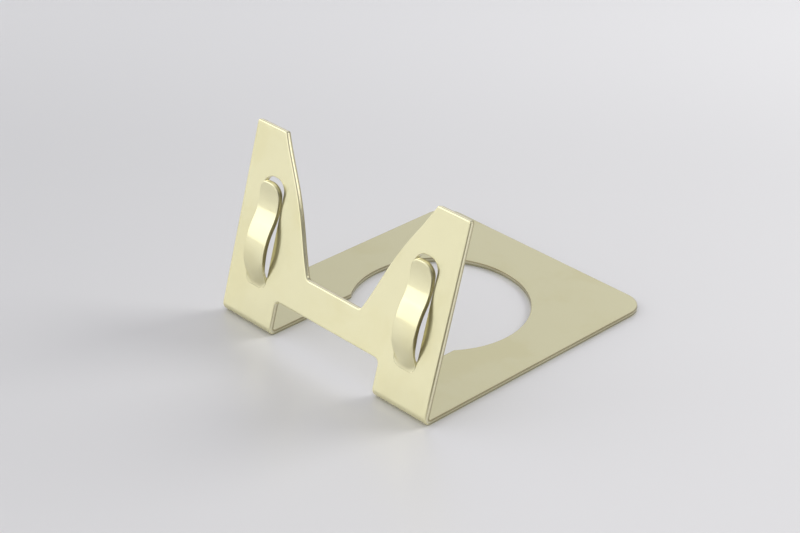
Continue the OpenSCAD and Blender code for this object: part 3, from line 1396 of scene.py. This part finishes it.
@dataclass(frozen=True)
class SatinGold:
    """The faces: pale gold rolled sheet, between satin and polished.

    Attributes:
        effects: The shared shader groups.
        tint: Colour of the clean metal.
        deep_tint: Colour towards which smudges darken it.
        deep_share: How far they do.
        roughness: Roughness of the clean metal.
        smudge_dulls: How much rougher a smudge is.
        grain_dulls: How much the lines of the grain roughen and smooth it.
        lip_dulls: How much rougher the rolled lips are.
        haze_roughness: Roughness of the haze round each reflection.
        haze_share: Share of the light that goes into it.
        lines_per_mm: Lines of the grain in a millimetre.
        grain_height: Height of the lines, in millimetres.
        wave_height: Height of the sheet's waves, in millimetres.
        dust_amount: Share of the cells that hold a speck.
        dust_share: How far a speck covers the metal.
        dust_tint: Colour of dust.
        name: The material's name.
    """

    effects: Effects
    tint: Tint = (0.84, 0.80, 0.528)
    deep_tint: Tint = (0.79, 0.74, 0.45)
    deep_share: float = 0.6
    roughness: float = 0.13
    smudge_dulls: float = 0.05
    grain_dulls: float = 0.05
    lip_dulls: float = 0.05
    haze_roughness: float = 0.42
    haze_share: float = 0.35
    lines_per_mm: float = 7.0
    grain_height: float = 0.00022
    wave_height: float = 0.035
    dust_amount: float = 0.012
    dust_share: float = 0.7
    dust_tint: Tint = (0.32, 0.28, 0.18)
    name: str = "satin pale gold"

    def material(self) -> bpy.types.Material:
        """Builds the finish.

        Smudges, grain and the rolled lips make the shine uneven, and the waves of the sheet
        bend the reflections slightly.

        Returns:
            The material.
        """
        made, tree, place = new_material(self.name)
        effects = self.effects
        lines, waves = tree.placed(effects.grain, {"Place": place, "Lines per mm": self.lines_per_mm})
        smudge = tree.placed(effects.smudge, {"Place": place})[0]
        dust = tree.placed(effects.dust, {"Place": place, "Amount": self.dust_amount})[0]
        rolled = tree.add("Attribute", attribute_name="rolled").outputs["Fac"]
        tone = tree.blend(tree.spread(smudge, (0.0, 1.0), (0.0, self.deep_share)), self.tint, self.deep_tint)
        dusty = tree.blend(tree.times(dust, self.dust_share), tone, self.dust_tint)
        rough = tree.plus(tree.times(smudge, self.smudge_dulls), self.roughness)
        rough = tree.plus(rough, tree.times(tree.plus(lines, -NOISE_MIDDLE), self.grain_dulls))
        rough = tree.plus(rough, tree.times(rolled, self.lip_dulls))
        height = tree.plus(tree.times(lines, self.grain_height), tree.times(waves, self.wave_height))
        bump = tree.add("Bump", {"Strength": 1.0, "Distance": MM, "Height": height}).outputs[0]
        shine, haze = (
            tree.add("BsdfPrincipled", {
                "Base Color": dusty, "Roughness": value, "Metallic": 1.0, "Normal": bump,
            }).outputs[0]
            for value in (rough, self.haze_roughness)
        )
        both = tree.add("MixShader", {0: self.haze_share, 1: shine, 2: haze})
        tree.add("OutputMaterial", {0: both.outputs[0]})
        return made


@dataclass(frozen=True)
class ShearedGold:
    """The cut walls: the same metal, scored from face to face by the press tool.

    Attributes:
        effects: The shared shader groups.
        tint: Colour of the part that was cut smooth.
        deep_tint: Colour of the part that broke.
        roughness: Roughness of the part that was cut smooth.
        scores_per_mm: Scores in a millimetre along the edge.
        runs_per_mm: How often a score starts in a millimetre of depth.
        ragged: How far the scores shift the broken part's border, in millimetres.
        broken_band: Depths in millimetres over which the broken part begins.
        broken_share: How far it takes on its own colour.
        smudge_share: How far a smudge takes on that colour.
        broken_dulls: How much rougher the broken part is.
        score_height: Height of the scores, in millimetres.
        broken_height: How much higher they are on the broken part.
        painted_contact_shade_tint: Colour of painted shade near the table, which stands in for the wall's
            mirror image of the contact shadow there.
        painted_contact_shade_share: How far the wall takes on that painted shade.
        painted_contact_shade_band: Heights above the table over which the painted shade fades out.
        name: The material's name.
    """

    effects: Effects
    tint: Tint = (0.86, 0.82, 0.59)
    deep_tint: Tint = (0.42, 0.37, 0.22)
    roughness: float = 0.16
    scores_per_mm: float = 14.0
    runs_per_mm: float = 0.8
    ragged: float = 0.2
    broken_band: Band = (0.62, 0.85)
    broken_share: float = 0.85
    smudge_share: float = 0.15
    broken_dulls: float = 0.14
    score_height: float = 0.004
    broken_height: float = 0.010
    painted_contact_shade_tint: Tint = (0.20, 0.18, 0.10)
    painted_contact_shade_share: float = 0.85
    painted_contact_shade_band: Band = (0.216 * MM, 0.72 * MM)
    name: str = "sheared pale gold"

    def material(self) -> bpy.types.Material:
        """Builds the finish: scores across the wall, and a duller band where the metal broke.

        Returns:
            The material.
        """
        made, tree, place = new_material(self.name)
        along, depth = (
            tree.add("Attribute", attribute_name=note).outputs["Fac"] for note in ("along", "depth")
        )
        stretched = tree.add("CombineXYZ", {
            0: tree.times(along, self.scores_per_mm), 1: tree.times(depth, self.runs_per_mm), 2: 0.0,
        })
        noise = tree.add("TexNoise", {"Vector": stretched.outputs[0], "Scale": 1.0, "Detail": 3.0})
        scores = noise.outputs[0]
        smudge = tree.placed(self.effects.smudge, {"Place": place})[0]
        broken = tree.spread(tree.plus(depth, tree.times(scores, self.ragged)), self.broken_band)
        share = tree.plus(tree.times(broken, self.broken_share), tree.times(smudge, self.smudge_share))
        tone = tree.blend(share, self.tint, self.deep_tint)
        # Painted shade: the wall darkens towards the table, for its mirror image of the contact shadow.
        above_table = tree.add("SeparateXYZ", {0: place}).outputs[2]
        painted_contact_shade = tree.spread(above_table, self.painted_contact_shade_band, (self.painted_contact_shade_share, 0.0))
        tone = tree.blend(painted_contact_shade, tone, self.painted_contact_shade_tint)
        rough = tree.plus(tree.times(broken, self.broken_dulls), self.roughness)
        height = tree.times(scores, tree.plus(tree.times(broken, self.broken_height), self.score_height))
        bump = tree.add("Bump", {"Strength": 1.0, "Distance": MM, "Height": height}).outputs[0]
        shader = tree.add("BsdfPrincipled", {
            "Base Color": tone, "Roughness": rough, "Metallic": 1.0, "Normal": bump,
        })
        tree.add("OutputMaterial", {0: shader.outputs[0]})
        return made


@dataclass(frozen=True)
class PaleTable:
    """The table top: pale grey with a low gloss, a little lighter to the right.

    Attributes:
        tint: Colour to the right, where painted light makes the table lighter.
        painted_shade_left_tint: Colour to the left, darker by painted shade.
        painted_shade_across_band: X over which the painted shade on the left turns into the right colour.
        painted_light_far_way: Direction in which painted light makes the table paler, straight away from the
            camera.
        far_band: Distances that way over which the painted light grows.
        painted_light_far_gain: How many times as bright the painted light makes it beyond them.
        painted_reflection_way: Direction in which a painted reflection makes the table's mirror image in the
            metal paler, towards the camera.
        painted_reflection_band: Distances that way over which the painted reflection grows.
        painted_reflection_gain: How much brighter the painted reflection makes the image beyond them.
        roughness: Roughness of the table.
        shade_tint: Colour of the painted shade patch that only the metal mirrors, for the dark side by the
            camera.
        shade_at: Middle of that patch.
        shade_band: Distances from its middle over which it fades out.
        shade_roughness: Roughness of the patch.
        name: The material's name.
    """

    tint: Tint = (0.78, 0.773, 0.765)
    painted_shade_left_tint: Tint = (0.69, 0.688, 0.684)
    painted_shade_across_band: Band = (-0.16, 0.10)
    painted_light_far_way: Place = (-0.7, 0.7, 0.0)
    far_band: Band = (0.05, 0.14)
    painted_light_far_gain: float = 1.10
    painted_reflection_way: Place = (0.777, -0.62, 0.0)
    painted_reflection_band: Band = (0.004, 0.03)
    painted_reflection_gain: float = 0.11
    roughness: float = 0.30
    shade_tint: Tint = (0.14, 0.125, 0.09)
    shade_at: Place = (0.118, -0.165, 0.0)
    shade_band: Band = (0.12, 0.16)
    shade_roughness: float = 0.9
    name: str = "pale table"

    def material(self) -> bpy.types.Material:
        """Builds the finish: a grey that lightens evenly, with a dark patch for the metal to mirror.

        Returns:
            The material.
        """
        made, tree, place = new_material(self.name)
        mirrored = tree.add("LightPath").outputs["Is Glossy Ray"]
        across = tree.add("SeparateXYZ", {0: place}).outputs[0]
        # Painted light and shade: the table is darker to the left and paler far from the camera.
        tone = tree.blend(tree.spread(across, self.painted_shade_across_band), self.painted_shade_left_tint, self.tint)
        far, near = (tree.measure("DOT_PRODUCT", place, way) for way in (self.painted_light_far_way, self.painted_reflection_way))
        # Painted reflection: for glossy rays only, the table is paler towards the camera.
        lighter = tree.times(mirrored, tree.spread(near, self.painted_reflection_band, (0.0, self.painted_reflection_gain)))
        gain = tree.plus(tree.spread(far, self.far_band, (1.0, self.painted_light_far_gain)), lighter)
        paler = tree.add("VectorMath", {0: tone, 3: gain}, operation="SCALE")
        table = tree.add("BsdfPrincipled", {
            "Base Color": paler.outputs[0], "Roughness": self.roughness, "Specular IOR Level": 1.0,
        })
        shade = tree.add("BsdfPrincipled", {
            "Base Color": (*self.shade_tint, 1.0), "Roughness": self.shade_roughness,
            "Specular IOR Level": 0.0,
        })
        # Painted shade: a dark patch that only glossy rays see, for the dark side by the camera.
        away = tree.measure("DISTANCE", place, self.shade_at)
        share = tree.times(mirrored, tree.spread(away, self.shade_band, (1.0, 0.0)))
        both = tree.add("MixShader", {0: share, 1: table.outputs[0], 2: shade.outputs[0]})
        tree.add("OutputMaterial", {0: both.outputs[0]})
        return made


@dataclass(frozen=True)
class Surroundings:
    """The room, as the metal mirrors it: windows low on its bright side, a dim side, a light ceiling.

    A band is a range of one part of the unit vector towards a place in the room. Up is its Z,
    rear is its Y, and bright is its part along bright_way.

    Attributes:
        backdrop: Colour that the camera sees instead of the room.
        bright_way: Direction of the bright side.
        bright_band: Bright over which the dim side turns into the bright one.
        sill: Colour below the windows.
        sill_band: Up over which it turns into the panes.
        window: Colour of the lower panes.
        high_window: Colour of the upper panes.
        pane_band: Up over which the lower turn into the upper.
        front_window: Colour of the window nearer the front, low down.
        high_front: Colour of the same window, high up.
        front_pane_band: Up over which the one turns into the other.
        front_band: Bright over which that window turns into the other panes.
        lintel_tilt: How much lower the windows end, for each part of rear.
        lintel_band: Up over which they turn into the wall.
        room: Colour of the wall above them.
        rear_room: Colour of that wall towards the rear.
        rear_room_band: Rear over which the one turns into the other.
        gloom: Colour of the dim side, low down.
        rear_low: Colour of the same towards the rear.
        rear_band: Rear over which the one turns into the other.
        rear_right: Colour of the lit strip on the dim side's rear.
        strip_begins: Up over which the strip begins.
        strip_ends: Up over which it ends.
        far_room: Colour of the dim side, high up.
        far_band: Up over which low turns into high.
        dim_ceiling: Colour of the ceiling over the dim side.
        ceiling: Colour of the ceiling over the bright side.
        ceiling_band: Bright over which the one turns into the other.
        overhead_band: Up over which the walls turn into the ceiling.
    """

    backdrop: Tint = (0.68, 0.68, 0.69)
    bright_way: Place = (-0.97, -0.25, 0.0)
    bright_band: Band = (-0.20, 0.10)
    sill: Tint = (0.72, 0.72, 0.72)
    sill_band: Band = (0.012, 0.030)
    window: Tint = (1.60, 1.60, 1.60)
    high_window: Tint = (2.3, 2.3, 2.35)
    pane_band: Band = (0.34, 0.46)
    front_window: Tint = (1.25, 1.25, 1.25)
    high_front: Tint = (0.72, 0.72, 0.74)
    front_pane_band: Band = (0.34, 0.50)
    front_band: Band = (0.50, 0.70)
    lintel_tilt: float = 0.4
    lintel_band: Band = (0.31, 0.46)
    room: Tint = (0.44, 0.44, 0.465)
    rear_room: Tint = (0.76, 0.76, 0.79)
    rear_room_band: Band = (0.40, 0.78)
    gloom: Tint = (0.12, 0.12, 0.13)
    rear_low: Tint = (0.25, 0.25, 0.25)
    rear_band: Band = (0.25, 0.60)
    rear_right: Tint = (1.5, 1.48, 1.44)
    strip_begins: Band = (0.16, 0.195)
    strip_ends: Band = (0.30, 0.42)
    far_room: Tint = (0.36, 0.36, 0.38)
    far_band: Band = (0.30, 0.60)
    dim_ceiling: Tint = (0.45, 0.45, 0.47)
    ceiling: Tint = (1.0, 1.0, 1.06)
    ceiling_band: Band = (-0.35, 0.20)
    overhead_band: Band = (0.56, 0.80)

    def bright_side(self, tree: NodeTree, up: Socket, rear: Socket, bright: Socket) -> Socket:
        """Colour of the bright side: the sill, the panes and the wall above them.

        Args:
            tree: The world's tree.
            up: The part up.
            rear: The part to the rear.
            bright: The part towards the bright side.

        Returns:
            The colour.
        """
        panes = tree.blend(tree.spread(up, self.pane_band), self.window, self.high_window)
        front = tree.blend(tree.spread(up, self.front_pane_band), self.front_window, self.high_front)
        panes = tree.blend(tree.spread(bright, self.front_band), front, panes)
        panes = tree.blend(tree.spread(up, self.sill_band), self.sill, panes)
        wall = tree.blend(tree.spread(rear, self.rear_room_band), self.room, self.rear_room)
        lintel = tree.plus(up, tree.times(rear, self.lintel_tilt))
        return tree.blend(tree.spread(lintel, self.lintel_band), panes, wall)

    def dim_side(self, tree: NodeTree, up: Socket, rear: Socket) -> Socket:
        """Colour of the dim side, with the lit strip on its rear.

        Args:
            tree: The world's tree.
            up: The part up.
            rear: The part to the rear.

        Returns:
            The colour.
        """
        behind = tree.spread(rear, self.rear_band)
        strip = tree.times(tree.spread(up, self.strip_begins), tree.spread(up, self.strip_ends, (1.0, 0.0)))
        low = tree.blend(behind, self.gloom, self.rear_low)
        low = tree.blend(tree.times(behind, strip), low, self.rear_right)
        return tree.blend(tree.spread(up, self.far_band), low, self.far_room)

    def build(self) -> bpy.types.World:
        """Sets the world.

        Returns:
            The world.
        """
        world = bpy.data.worlds.new("studio")
        bpy.context.scene.world = world
        world.use_nodes = True
        tree = NodeTree(world.node_tree)
        way = tree.add("TexCoord").outputs["Generated"]
        bright = tree.measure("DOT_PRODUCT", way, self.bright_way)
        _, rear, up = tree.add("SeparateXYZ", {0: way}).outputs
        dim, lit = self.dim_side(tree, up, rear), self.bright_side(tree, up, rear, bright)
        walls = tree.blend(tree.spread(bright, self.bright_band), dim, lit)
        above = tree.blend(tree.spread(bright, self.ceiling_band), self.dim_ceiling, self.ceiling)
        room = tree.blend(tree.spread(up, self.overhead_band), walls, above)
        mirrored, plain = (
            tree.add("Background", {"Color": colour, "Strength": 1.0}).outputs[0]
            for colour in (room, (*self.backdrop, 1.0))
        )
        seen = tree.add("LightPath").outputs["Is Camera Ray"]
        mix = tree.add("MixShader", {0: seen, 1: mirrored, 2: plain})
        tree.add("OutputWorld", {0: mix.outputs[0]})
        return world


@dataclass
class Studio:
    """Table, soft lights and camera.

    Attributes:
        table_half: Half of the table's side.
        table_steps: Quads along each side of the table.
        lamp_way: Direction of the lamp from the object.
        lamp_distance: Its distance.
        lamp_size: Its diameter.
        lamp_power: Its power in watts.
        camera_at: Place of the camera.
        camera_azimuth: Angle in degrees by which it stands round to the right of the front.
        camera_elevation: Angle in degrees by which the camera looks down.
        camera_roll: Angle in degrees by which it is turned about its line of sight.
        camera_clip: Nearest and farthest distance that it shows.
        focal_pixels: Its focal length in pixels of the photograph.
        sensor: Width of its sensor, in millimetres.
    """

    table_half: float = 2.5
    table_steps: int = 8
    lamp_way: Place = (0.37, 0.73, 0.60)
    lamp_distance: float = 0.75
    lamp_size: float = 0.38
    lamp_power: float = 2.2
    camera_at: Place = (0.226856, -0.232374, 0.193568)
    camera_azimuth: float = 45.484
    camera_elevation: float = 29.627
    camera_roll: float = 0.86
    camera_clip: Band = (0.01, 20.0)
    focal_pixels: float = 2056.05
    sensor: float = 36.0

    def table(self) -> bpy.types.Object:
        """Lays the table top, a level square grid.

        Returns:
            The table's object.
        """
        side = np.linspace(-self.table_half, self.table_half, self.table_steps + 1)
        x, y = np.meshgrid(side, side, indexing="ij")
        points = np.stack([x, y, np.zeros_like(x)], axis=-1)
        index = np.arange(x.size).reshape(x.shape)
        quads = np.stack([index[:-1, :-1], index[1:, :-1], index[1:, 1:], index[:-1, 1:]], -1).reshape(-1, 4)
        mesh = bpy.data.meshes.new("table_top")
        mesh.from_pydata(points.reshape(-1, 3), [], quads)
        mesh.materials.append(PaleTable().material())
        top = bpy.data.objects.new("table_top", mesh)
        bpy.context.scene.collection.objects.link(top)
        return top

    def lamp(self) -> bpy.types.Object:
        """Hangs one broad soft lamp behind and to the right, which lays the long faint shadows.

        It is hidden from reflections, because the table and the base would mirror it as white.

        Returns:
            The lamp's object.
        """
        light = bpy.data.lights.new("soft_lamp", "AREA")
        light.shape = "DISK"
        light.size = self.lamp_size
        light.energy = self.lamp_power
        lamp = bpy.data.objects.new("soft_lamp", light)
        way = Vector(self.lamp_way).normalized()
        lamp.location = way * self.lamp_distance
        lamp.rotation_euler = way.to_track_quat("Z", "Y").to_euler()
        lamp.visible_glossy = False
        bpy.context.scene.collection.objects.link(lamp)
        return lamp

    def camera(self) -> bpy.types.Object:
        """Sets the camera where the photograph was taken from.

        The line of sight goes back to the camera along (sin a cos e, -cos a cos e, sin e), with
        a the azimuth and e the elevation. The roll turns the picture about that line.

        Returns:
            The camera's object.
        """
        lens = bpy.data.cameras.new("camera")
        lens.sensor_width = self.sensor
        lens.lens = self.focal_pixels / PHOTO_WIDTH * self.sensor
        lens.clip_start, lens.clip_end = self.camera_clip
        camera = bpy.data.objects.new("camera", lens)
        azimuth, elevation = math.radians(self.camera_azimuth), math.radians(self.camera_elevation)
        level_share = math.cos(elevation)
        back = Vector((
            math.sin(azimuth) * level_share, -math.cos(azimuth) * level_share, math.sin(elevation)
        ))
        level = Vector((0.0, 0.0, 1.0)).cross(back).normalized()
        upright = back.cross(level)
        turn = math.radians(self.camera_roll)
        right = level * math.cos(turn) + upright * math.sin(turn)
        up = upright * math.cos(turn) - level * math.sin(turn)
        rotation = Matrix((right, up, back)).transposed().to_4x4()
        camera.matrix_world = Matrix.Translation(Vector(self.camera_at)) @ rotation
        bpy.context.scene.collection.objects.link(camera)
        bpy.context.scene.camera = camera
        return camera

    def build(self) -> None:
        """Sets up the whole studio and its plain view transform."""
        self.table()
        Surroundings().build()
        self.lamp()
        self.camera()
        bpy.context.scene.view_settings.view_transform = "Standard"


def main() -> None:
    """Builds the studio, the stand and the two tongues in order."""
    logging.basicConfig(level=logging.INFO, format="%(message)s")
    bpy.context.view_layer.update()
    Studio().build()
    effects = Effects()
    finishes = [SatinGold(effects).material(), ShearedGold(effects).material()]
    sheet = FoldedSheet()
    made = [sheet.build(finishes)] + [SpringTongue(sheet, side).build(finishes) for side in Side]
    for piece in made:
        log.info("%s: %d faces", piece.name, len(piece.data.polygons))


if __name__ == "__main__":
    main()
